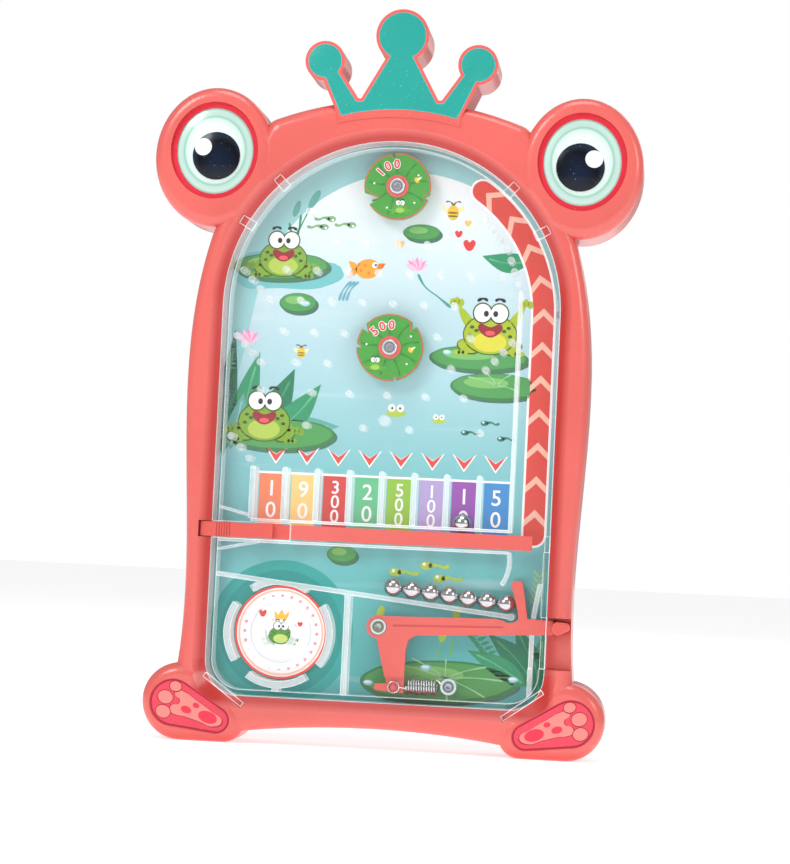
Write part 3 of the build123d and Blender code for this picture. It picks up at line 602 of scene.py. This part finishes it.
def makeLaunchTrack():
    red = ink("trackRed", (226, 74, 62))
    white = ink("paperWhite", (250, 252, 252))
    peach = ink("peachArrow", (250, 196, 174))
    shapes, put = newSheet(cardFace)
    for grow, material, layer in ((0.8, white, 3), (0, red, 4)):
        half = track["half"] + grow
        middle = track["middle"]
        outline = []
        for step in range(9):  # round lower end
            angle = math.radians(180 + 180 * step / 8)
            outline.append((middle + half * math.cos(angle), track["low"] + half * math.sin(angle)))
        for step in range(15):  # outer edge of the bend
            angle = math.radians(track["end"] * step / 14)
            outline.append((
                (middle + half) * math.cos(angle),
                track["bend"] + (middle + half) * math.sin(angle)
            ))
        tipAngle = math.radians(track["end"])
        tipX, tipZ = middle * math.cos(tipAngle), track["bend"] + middle * math.sin(tipAngle)
        for step in range(1, 8):
            angle = tipAngle + math.pi * step / 8
            outline.append((tipX + half * math.cos(angle), tipZ + half * math.sin(angle)))
        for step in range(14, -1, -1):
            angle = math.radians(track["end"] * step / 14)
            outline.append((
                (middle - half) * math.cos(angle),
                track["bend"] + (middle - half) * math.sin(angle)
            ))
        put(material, layer, outline, smooth=False)
    arrows = []
    travel = track["bend"] - track["low"]
    bendLength = math.radians(track["end"]) * track["middle"]
    distance = 5.0
    while distance < travel + bendLength - 2:
        if distance < travel:
            x, z, turn = track["middle"], track["low"] + distance, 0
        else:
            turn = (distance - travel) / track["middle"]
            x = track["middle"] * math.cos(turn)
            z = track["bend"] + track["middle"] * math.sin(turn)
        arrow = []
        half = track["half"]
        for a, b in ((-half, -2.2), (0, 1.2), (half, -2.2), (half, 0.2), (0, 3.8), (-half, 0.2)):
            arrow.append((
                x + a * math.cos(turn) - b * math.sin(turn),
                z + a * math.sin(turn) + b * math.cos(turn)
            ))
        arrows.append(arrow)
        distance += track["pitch"]
    put(peach, 5, *arrows, smooth=False)
    return joinPrint("launchTrack", shapes, "case")


slots = {
    "first": -39.6,
    "pitch": 11.2,
    "half": 4.3,
    "low": 75.5,
    "high": 93.2,
    "colours": [(242, 134, 92), (250, 210, 130), (214, 72, 66), (104, 194, 140),
                (148, 196, 66), (182, 164, 214), (154, 84, 176), (66, 142, 208)],
    "scores": ["10", "90", "300", "20", "500", "100", "10", "50"],
}


def addDigit(text, x, z, depth, size, material, bold, turn=0):
    bpy.ops.object.text_add()
    digit = bpy.context.active_object
    digit.data.body = text
    digit.data.size = size * mm
    digit.data.align_x = "CENTER"
    digit.data.align_y = "CENTER"
    digit.data.extrude = sheetHalf
    digit.data.offset = bold
    digit.data.materials.append(material)
    upright = Matrix.Rotation(turn, 4, "Y") @ Matrix.Rotation(math.pi / 2, 4, "X")
    digit.matrix_world = Matrix.Translation((x * mm, depth, z * mm)) @ upright
    return digit


def makeSlotPanels():
    white = ink("paperWhite")
    shapes, put = newSheet(cardFace)
    digits = []
    for index, colour in enumerate(slots["colours"]):
        x = slots["first"] + index * slots["pitch"]
        low, high, half = slots["low"], slots["high"], slots["half"]
        panel = ink("slot" + str(index + 1), colour)
        put(panel, 3, [(x - half, low), (x + half, low), (x + half, high), (x - half, high)], smooth=False)
        score = slots["scores"][index]
        step = 15.0 / max(len(score), 2)
        for place, figure in enumerate(score):
            z = high - 1.6 - step * (place + 0.5)
            depth = cardFace - sheetStep * 4 - sheetHalf
            digits.append(addDigit(figure, x, z, depth, min(7.6, step * 1.25), white, 0.00006))
    for index in range(len(slots["colours"])):
        x = slots["first"] + index * slots["pitch"]
        put(white, 3, [
            (x - 4.6, slots["high"]), (x + 4.6, slots["high"]),
            (x + 4.6, slots["high"] + 0.8), (x - 4.6, slots["high"] + 0.8)
        ], smooth=False)
    whiteV, redV = [], []
    for index in range(8):
        x = -38.6 + index * 10.95
        for grow, target in ((0.55, whiteV), (0, redV)):
            target.append([
                (x - 3.4 - grow * 1.5, 102.3 + grow), (x, 99.9 + grow * 0.4),
                (x + 3.4 + grow * 1.5, 102.3 + grow), (x, 97.4 - grow * 1.5)
            ])
    put(white, 3, *whiteV, smooth=False)
    put(ink("trackRed"), 4, *redV, smooth=False)
    return joinPrint("slotPanels", shapes + digits, "case")


def makeLilyPads():
    shade = ink("padShade", (72, 112, 100))
    rim = ink("padRim", (56, 128, 70))
    top = ink("padTop", (78, 158, 84))
    glow = ink("padGlow", (126, 192, 104))
    vein = ink("padVein", (150, 206, 150))
    pads = [
        (-40, 165.5, 17.0, 5.0, 2), (-33.5, 152.9, 6.6, 3.6, 0), (8.7, 179.0, 6.6, 3.0, 0),
        (30.5, 136.0, 17.3, 4.6, 0), (36.5, 126.4, 15.5, 4.8, 0), (-37.5, 106.6, 19.4, 5.6, 2),
        (-13.8, 66.2, 5.3, 3.2, 0), (22, 24.0, 27.5, 7.4, 2),
    ]
    shapes, put = newSheet(cardFace)
    for x, z, halfX, halfZ, turn in pads:
        put(shade, 2, ovalPoints(x + 0.7, z - 0.7, halfX, halfZ, turn))
        put(rim, 3, ovalPoints(x, z, halfX, halfZ, turn))
        put(top, 4, ovalPoints(x - 0.1, z + 0.35, halfX * 0.94, halfZ * 0.86, turn))
        put(glow, 5, ovalPoints(x - halfX * 0.2, z + halfZ * 0.3, halfX * 0.5, halfZ * 0.4, turn))
    veins = []
    for end in ((4, 30), (12, 31.8), (24, 32.2), (38, 30), (44, 25.5), (38, 19.5), (25, 17.6), (8, 20)):
        veins.append(strokePoints([(24, 25.5), ((24 + end[0]) / 2, (26.6 + end[1]) / 2), end], 0.3))
    for end in ((27, 129.6), (33, 131.4), (42, 131), (45, 125)):
        veins.append(strokePoints([(37, 127), ((37 + end[0]) / 2, (128 + end[1]) / 2), end], 0.25))
    for stroke in veins:
        put(vein, 6, stroke)
    return joinPrint("lilyPads", shapes, "case")


def makeLeaves():
    dark = ink("leafDark", (20, 122, 84))
    mid = ink("leafMid", (46, 150, 104))
    dim = ink("leafDim", (96, 170, 160))
    reed = ink("reedGreen", (120, 190, 80))
    jobs = [
        ((-57.5, 98, -55, 143, 7, 0.5), dark, 1), ((-52, 101, -46, 135.5, 9, 1), mid, 1),
        ((-50, 103, -33.5, 130, 11, -2), dark, 2), ((-45, 104, -24, 125, 10, -2), mid, 3),
        ((-42, 104, -17, 110.5, 9, 2), dim, 2), ((-55, 101, -51, 121, 6, 0), dim, 3),
        ((46.5, 170.5, 30, 171.8, 7, 1.5), mid, 2), ((46, 173, 44.2, 180, 4, 0), dark, 2),
        ((56, 23, 47, 45, 8, -1), dark, 2), ((56, 23, 38, 41.5, 9, -1.5), dark, 3),
        ((52, 24, 31, 35.5, 7, -1), mid, 4),
        ((57, 23, 56.8, 43, 7, 0), mid, 2), ((57, 20, 54, 35, 6, 0), dark, 4),
    ]
    shapes, put = newSheet(cardFace)
    lines = {
        dark: ink("veinDark", (58, 158, 116)),
        mid: ink("veinMid", (92, 182, 138)),
        dim: ink("veinDim", (130, 196, 186))
    }
    for job, colour, layer in jobs:
        put(colour, layer, leafPoints(*job), smooth=False)
        put(lines[colour], layer + 0.5, leafVein(*job[:4], job[5]))
    for x, z, lean in ((-30, 189.5, 0.45), (-38, 181, -0.3), (-34, 184, 0.1)):  # cattails at the upper left
        stem = [(x - lean * 16, z - 16), (x - lean * 6, z - 7), (x, z)]
        put(mid, 2, strokePoints(stem, 0.4))
    put(dim, 3, ovalPoints(-29.5, 189.5, 1.3, 3.6, -28))
    put(dim, 3, ovalPoints(-35.6, 186, 1.1, 3.0, -18))
    for x, z, height in ((27, 48.2, 15), (22.5, 40, 8), (0.6, 47, 3)):  # small yellow green cattails
        put(reed, 4, strokePoints([(x - 1.6, z - height), (x - 0.6, z - height / 2), (x, z)], 0.35))
        put(ink("reedHead", (178, 205, 72)), 5, ovalPoints(x, z, 1.3, 2.3, -15))
    for side in (-1, 1):  # fern spray under the lever
        for step in range(5):
            x, z = 33 + step * 1.3, 40.5 - step * 1.5
            put(mid, 4, leafPoints(x, z, x + side * 3.4, z + 1.4, 1.3), smooth=False)
    grass = ink("reedPale", (150, 205, 150))
    for step in range(6):
        x, z = 53.6 + step * 0.25, 52 + step * 1.9
        put(grass, 3, leafPoints(x, z, x + 2.6, z + 2.6, 0.9), smooth=False)
        put(grass, 3, leafPoints(x, z, x - 2.2, z + 2.8, 0.9), smooth=False)
    return joinPrint("pondLeaves", shapes, "case")


def frogShapes(x, z, size, face, layer, arms="down", grin=True, tones=((126, 170, 40), (178, 205, 80))):
    green = ink("frogGreen%d" % tones[0][0], tones[0])
    belly = ink("frogBelly%d" % tones[1][0], tones[1])
    line = ink("frogLine", (58, 92, 22))
    white = ink("paperWhite")
    black = ink("inkBlack", (24, 26, 28))
    mouth = ink("mouthRed", (150, 24, 34))
    s = size
    shapes = []

    def put(points, colour, up):
        shapes.append(printShape([points], colour, face, layer + up * 0.35))

    for side in (-1, 1):
        put(ovalPoints(x + side * s * 0.78, z - s * 0.62, s * 0.42, s * 0.26, side * 18), line, 0)
        put(ovalPoints(x + side * s * 0.78, z - s * 0.6, s * 0.38, s * 0.22, side * 18), green, 1)
        reach = 0.95 if arms == "up" else -0.5
        put(leafPoints(x + side * s * 0.55, z - s * 0.1, x + side * s * 1.25, z + s * reach, s * 0.34),
            green, 1)
        for toe in (-1, 0, 1):
            put(ovalPoints(x + side * s * 1.25 + toe * s * 0.16, z + s * (reach + 0.08 - abs(toe) * 0.06),
                           s * 0.1, s * 0.14), green, 2)
            put(ovalPoints(x + side * s * 1.02 + toe * s * 0.14, z - s * 0.82, s * 0.12, s * 0.09), green,
                2)
    put(ovalPoints(x, z - s * 0.15, s * 0.98, s * 0.74), line, 1)
    put(ovalPoints(x, z - s * 0.15, s * 0.94, s * 0.7), green, 2)
    put(ovalPoints(x, z - s * 0.42, s * 0.6, s * 0.36), belly, 3)
    for side in (-1, 1):
        put(ovalPoints(x + side * s * 0.3, z + s * 0.62, s * 0.36, s * 0.38), line, 2)
        put(ovalPoints(x + side * s * 0.3, z + s * 0.62, s * 0.31, s * 0.33), white, 3)
        put(ovalPoints(x + side * s * 0.17, z + s * 0.6, s * 0.09, s * 0.11), black, 4)
        put(strokePoints([(x + side * s * 0.5, z + s * 1.06), (x + side * s * 0.3, z + s * 1.14),
                          (x + side * s * 0.14, z + s * 1.08)], s * 0.07), black, 3)
        for spot in ((0.66, 0.1), (0.5, -0.02), (0.72, -0.2)):
            put(ovalPoints(x + side * s * spot[0], z + s * spot[1], s * 0.08, s * 0.06), line, 3)
    if grin:
        put([(x - s * 0.42, z + s * 0.2), (x, z + s * 0.12), (x + s * 0.42, z + s * 0.2), (x + s * 0.2,
            z - s * 0.2),
             (x - s * 0.2, z - s * 0.2)], mouth, 4)
        put(ovalPoints(x, z - s * 0.1, s * 0.18, s * 0.09), ink("tongueRed", (236, 84, 92)), 5)
    return shapes


def makeFrogs():
    shapes, put = newSheet(cardFace)
    shapes += frogShapes(-39.5, 169.5, 8.6, cardFace, 5.5)
    shapes += frogShapes(-43.4, 112.5, 9.4, cardFace, 5.5)
    shapes += frogShapes(34.0, 146.0, 9.6, cardFace, 5.5, arms="up", tones=((170, 192, 30), (222, 216, 60)))
    white, black = ink("paperWhite"), ink("inkBlack")
    lime = ink("reedHead")
    for x, z, size in ((2.6, 116.6, 3.4), (17.6, 114.4, 2.4)):  # two small frogs that look out of the water
        put(lime, 5, ovalPoints(x, z - size * 0.15, size, size * 0.4))
        for side in (-1, 1):
            put(white, 6, ovalPoints(x + side * size * 0.45, z + size * 0.35, size * 0.38, size * 0.4))
            put(black, 6.5, ovalPoints(x + side * size * 0.4, z + size * 0.32, size * 0.11, size * 0.13))
    return joinPrint("printedFrogs", shapes, "case")


def makeSmallLife():
    shapes, put = newSheet(cardFace)
    dark = ink("tadpoleGreen", (44, 128, 108))
    olive = ink("tadpoleOlive", (128, 178, 120))
    lime = ink("reedHead")
    white, black = ink("paperWhite"), ink("inkBlack")

    def tadpole(x, z, length, colour, layer=5):
        put(colour, layer, ovalPoints(x, z, length * 0.22, length * 0.15))
        tail = strokePoints([
            (x + length * 0.1, z), (x + length * 0.4, z + 0.35),
            (x + length * 0.62, z - 0.3), (x + length * 0.85, z)
        ], length * 0.1)
        put(colour, layer, tail)
        put(white, layer + 0.7,
            ovalPoints(x - length * 0.07, z + length * 0.05, length * 0.06, length * 0.06))

    for x, z in ((-23.2, 182.8), (-25.6, 179.9), (-16, 180.9)):
        tadpole(x, z, -7, olive)
    for x, z in ((33.5, 113.8), (26.8, 110.2), (39.4, 108.6)):
        tadpole(x, z, 6, dark)
    for x, z in ((5.0, 61.0), (15.6, 63.8), (20.3, 59.6)):
        tadpole(x, z, 9.5, lime)
    orange = ink("fishOrange", (250, 164, 40))
    deep = ink("fishDeep", (236, 122, 24))
    put(orange, 5, ovalPoints(-9.6, 165.8, 4.2, 3.4, 8))
    put(orange, 5, leafPoints(-13.5, 165.5, -16.4, 168.4, 2.2))
    put(orange, 5, leafPoints(-13.5, 165.5, -16.6, 162.6, 2.2))
    put(deep, 6, leafPoints(-6.4, 166.2, -3.6, 167.8, 2.0))
    for dx, dz in ((-1, 1.2), (-2.4, -0.6), (0.4, -1.4), (-3.2, 1.4)):
        put(deep, 6, ovalPoints(-9.6 + dx, 165.8 + dz, 0.5, 0.5))
    put(white, 6, ovalPoints(-7.2, 167.2, 1.0, 1.0))
    put(black, 6.6, ovalPoints(-6.9, 167.2, 0.4, 0.45))
    splash = ink("splashTeal", (110, 176, 190))
    for shift in (0, 1.3, 2.6):
        route = [(-15.2 + shift, 161.2), (-17.8 + shift, 158.4), (-19.2 + shift, 154.4)]
        put(splash, 5, strokePoints(route, 0.45))
    gold, brown = ink("beeGold", (236, 196, 50)), ink("beeBrown", (120, 98, 20))
    wing = ink("beeWing", (240, 236, 180))
    for x, z, size in ((19.2, 186.4, 2.6), (-31.6, 135.6, 1.8)):  # bees
        for side in (-1, 1):
            put(wing, 5,
                ovalPoints(x + side * size * 0.9, z + size * 0.4, size * 0.7, size * 0.35, side * 35))
            put(brown, 6, strokePoints([
                (x, z + size), (x + side * size * 0.5, z + size * 1.5), (x + side * size, z + size * 1.45)
            ], 0.3))
        put(gold, 6, ovalPoints(x, z, size * 0.75, size))
        for band in (-0.45, 0.0):
            put(brown, 6.6, ovalPoints(x, z + band * size, size * 0.68, size * 0.12))
    heart = ink("heartRed", (226, 58, 60))
    honey = ink("heartHoney", (250, 200, 110))
    for x, z, size, colour in (
        (25.4, 175.4, 2.1, heart), (21.5, 179.2, 1.3, heart), (24.6, 183, 1.2, honey),
        (1.2, 174.8, 1.5, honey)
    ):
        put(colour, 5, heartPoints(x, z, size))
    petal, petalPale = ink("petalPink", (244, 150, 196)), ink("petalPale", (252, 200, 222))
    for x, z, size in ((7.4, 167.6, 4.2), (-50.6, 140.2, 4.4)):  # water lilies
        for step in range(7):
            angle = math.radians(18 + 24 * step)
            tip = (x + size * math.cos(angle), z + size * 0.85 * math.sin(angle) - 0.6)
            put(petal if step % 2 else petalPale, 5 + step * 0.2,
                leafPoints(x, z - 1.6, tip[0], tip[1], size * 0.42))
    stem = strokePoints([(8, 164.6), (10.6, 160.4), (15, 157.2), (20, 153.4)], 0.45)
    put(ink("stemTeal", (70, 160, 148)), 4, stem)
    drop, shine = ink("dropBlue", (150, 214, 232)), ink("dropShine", (232, 248, 252))
    for x, z, size in (
        (-2.6, 22.6, 1.7), (17.2, 28.8, 1.9), (47.4, 26.2, 1.8), (-31, 152.9, 1.7), (19.4, 137.9, 1.5)
    ):
        put(drop, 6, ovalPoints(x, z, size, size * 0.55))
        put(shine, 6.6, ovalPoints(x - 0.2, z + 0.2, size * 0.7, size * 0.28))
    return joinPrint("pondLife", shapes, "case")


def makeDialPrint():
    x, z = -33.7, 38.3
    white, peach = ink("paperWhite"), ink("peachArrow")
    pink = ink("dotPink", (244, 150, 160))
    shapes, put = newSheet(dialFace)
    put(white, 1, ovalPoints(x, z, 15.3, 15.3, 0, 16))
    put(peach, 2, ovalPoints(x, z, 14.9, 14.9, 0, 16), ovalPoints(x, z, 14.2, 14.2, 0, 16))
    dots = [
        ovalPoints(x + 12.6 * math.cos(step * math.pi / 12), z + 12.6 * math.sin(step * math.pi / 12),
                   0.55, 0.55, 0, 8)
        for step in range(24)
    ]
    put(pink, 2, *dots)
    put(ink("ringGrey", (214, 222, 232)), 2,
        ovalPoints(x, z, 10.6, 10.6, 0, 16), ovalPoints(x, z, 10.2, 10.2, 0, 16))
    for dx, dz, size in ((-6.6, 6.4, 1.3), (6.6, 3.2, 0.9)):
        put(ink("heartRed"), 3, heartPoints(x + dx, z + dz, size))
    shapes += frogShapes(x, z - 0.4, 4.2, dialFace, 3, grin=False, tones=((84, 160, 40), (206, 226, 120)))
    crown = [
        (x - 2.2, z + 4.6), (x - 2.6, z + 7.4), (x - 1.1, z + 6), (x, z + 8),
        (x + 1.1, z + 6), (x + 2.6, z + 7.4), (x + 2.2, z + 4.6)
    ]
    put(ink("crownGold", (250, 196, 60)), 6, crown, smooth=False)
    return joinPrint("dialPrint", shapes, "case")


artMakers = [
    makeWaterBands, makeLaunchTrack, makeSlotPanels, makeLilyPads, makeLeaves, makeFrogs, makeSmallLife,
    makeDialPrint
]
for maker in artMakers:
    maker()
    print("printed", maker.__name__)


spinners = [
    {"body": "spinner_top", "middle": 194.2, "radius": 11.6, "count": "100", "start": 128,
     "notches": [(97, 2.6, 1.6), (215, 4.6, -6.5), (338, 1.6, 3.0)], "frog": (1.2, -7.2),
     "bee": (6.6, 2.4)},
    {"body": "spinner_mid", "middle": 138.3, "radius": 11.6, "count": "500", "start": 122,
     "notches": [(40, 2.2, 3.2), (148, 2.4, -3.4), (182, 1.8, -2.4), (278, 2.0, 2.2)], "frog": (-4.8, -6.0),
     "bee": (7.2, -0.6)},
]


def rimPoints(job, inset):  # the pad's edge with its notches, drawn in by an inset
    radius = job["radius"] - inset
    z0 = job["middle"]
    points = []
    angle = 0.0
    while angle < 360:
        reach = radius
        for turn, depth, width in job["notches"]:
            across = math.radians(angle - turn) * job["radius"]
            inside = across / width if width else 0
            if 0 <= inside <= 1:
                reach = min(reach, job["radius"] - depth * (1 - inside) - inset)
        points.append((reach * math.cos(math.radians(angle)), z0 + reach * math.sin(math.radians(angle))))
        angle += 2.5
    return points


def makeSpinnerPrint(job):
    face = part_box(job["body"])[0].y
    rim = ink("spinnerRim", (206, 84, 72))
    vein = ink("spinnerVein", (24, 128, 34))
    shapes, put = newSheet(face)
    put(rim, 1, rimPoints(job, 0.05), rimPoints(job, 0.45), smooth=False)
    z0 = job["middle"]
    for step in range(9):
        angle = math.radians(step * 40 + 12)
        inner, outer = 4.4, 10.2
        route = [(inner * math.cos(angle), z0 + inner * math.sin(angle)),
                 (7.4 * math.cos(angle + 0.05), z0 + 7.4 * math.sin(angle + 0.05)),
                 (outer * math.cos(angle), z0 + outer * math.sin(angle))]
        put(vein, 1, strokePoints(route, 0.3))
    for step in range(5):
        angle = math.radians(step * 72 + 30)
        x, z = 8.2 * math.cos(angle), z0 + 8.2 * math.sin(angle)
        put(ink("paperWhite"), 2, ovalPoints(x, z, 0.35, 0.35))
    frogX, frogZ = job["frog"]
    tones = ((96, 178, 48), (150, 200, 76))
    shapes += frogShapes(frogX, z0 + frogZ, 2.5, face, 2, grin=False, tones=tones)
    beeX, beeZ = job["bee"]
    put(ink("beeGold"), 2, ovalPoints(beeX, z0 + beeZ, 0.75, 1.0, 30))
    put(ink("beeWing"), 2.4, leafPoints(beeX, z0 + beeZ, beeX + 1.8, z0 + beeZ + 1.2, 0.8), smooth=False)
    figures = []
    for layer, colour, bold in ((3, ink("paperWhite"), 0.00032), (4, ink("heartRed"), 0.00012)):
        for place, figure in enumerate(job["count"]):
            turn = math.radians(job["start"] + 14 - place * 24)
            x, z = 7.7 * math.cos(turn), z0 + 7.7 * math.sin(turn)
            depth = face - sheetStep * layer
            figures.append(addDigit(figure, x, z, depth, 4.2, colour, bold, math.pi / 2 - turn))
    return joinPrint(job["body"] + "Print", shapes + figures, job["body"])


# painted reflections on small metal heads: piece name, part, centre across and up, ring tone
metalReflections = [
    ("rivetReflectionTop", "spinner_rivets", 0.0, 194.2, (150, 154, 166)),
    ("rivetReflectionMid", "spinner_rivets", 0.0, 138.3, (150, 154, 166)),
    ("pinReflection", "lever_pin", 0.8, 42.2, (132, 142, 110)),
    ("postReflection", "spring_post", 25.8, 22.9, (120, 150, 156)),
]


def makeMetalReflection(name, node, x, z, colour):  # painted reflection and shade: bright, toned and dark rings stand in for the light on the dished centre and turned ring of a small metal head
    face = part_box(node)[0].y
    dark, bright = ink("metalShade", (74, 80, 84)), ink("metalHighlight", (214, 218, 224))
    tone = ink(name + "Tone", colour)
    shapes, put = newSheet(face)
    put(bright, 1, ovalPoints(x, z, 2.45, 2.45), ovalPoints(x, z, 2.15, 2.15))
    put(tone, 1, ovalPoints(x, z, 2.05, 2.05), ovalPoints(x, z, 1.0, 1.0))
    put(dark, 2, ovalPoints(x, z, 1.7, 1.7), ovalPoints(x, z, 1.4, 1.4))
    return joinPrint(name, shapes, "case")


for job in metalReflections:
    makeMetalReflection(*job)
for job in spinners:
    makeSpinnerPrint(job)
print("spinners printed")


def hullPoints(big, small):
    away = math.atan2(small[1] - big[1], small[0] - big[0])
    lean = math.acos((big[2] - small[2]) / math.dist(big[:2], small[:2]))
    points = []
    for x, z, radius, start, end in ((small[0], small[1], small[2], away + lean, away - lean),
                                     (big[0], big[1], big[2], away - lean, away + lean - 2 * math.pi)):
        for step in range(17):
            angle = start + (end - start) * step / 16
            points.append((x + radius * math.cos(angle), z + radius * math.sin(angle)))
    return points


def makeFootPrint(side):
    name = "left" if side < 0 else "right"
    line = ink("footLine", (170, 24, 52))
    pink = ink("footPink", (250, 140, 132))
    spot = ink("footSpot", (236, 50, 78))
    shapes, put = newSheet(footFace)

    def at(points):
        return [(side * x, z) for x, z in points]

    border = hullPoints((68.3, 12.9, 7.9), (53.0, 7.6, 4.4))
    inner = hullPoints((68.3, 12.9, 7.4), (53.0, 7.6, 3.9))
    put(line, 1, at(border), at(inner), smooth=False)
    sole = [(50.6, 7.0), (53.4, 5.0), (59, 6.6), (64.6, 8.2), (67.5, 8.6), (69.6, 10.0), (69.0, 12.0),
        (66.6, 12.6),
            (66.2, 14.2), (68.0, 15.8), (67.6, 17.4), (64.8, 17.0), (60, 14.0), (54, 10.0)]
    put(line, 1, at(sole))
    put(pink, 2, at([(x + (60 - x) * 0.045, z + (11 - z) * 0.06) for x, z in sole]))
    for x, z, size in ((71.6, 9.6, 2.5), (71.0, 14.6, 2.6), (67.6, 18.4, 2.0)):
        put(line, 2, at(ovalPoints(x, z, size + 0.3, size * 0.84 + 0.3, 15)))
        put(pink, 3, at(ovalPoints(x, z, size, size * 0.84, 15)))
    for x, z, halfX, halfZ in ((56, 8.4, 3.4, 2.0), (63.6, 10.6, 1.9, 1.2), (60.2, 12.2, 1.2, 0.9)):
        put(spot, 4, at(ovalPoints(x, z, halfX, halfZ, 18)))
    return joinPrint("footPrint" + name.capitalize(), shapes, "case")


makeFootPrint(-1)
makeFootPrint(1)
print("feet printed")
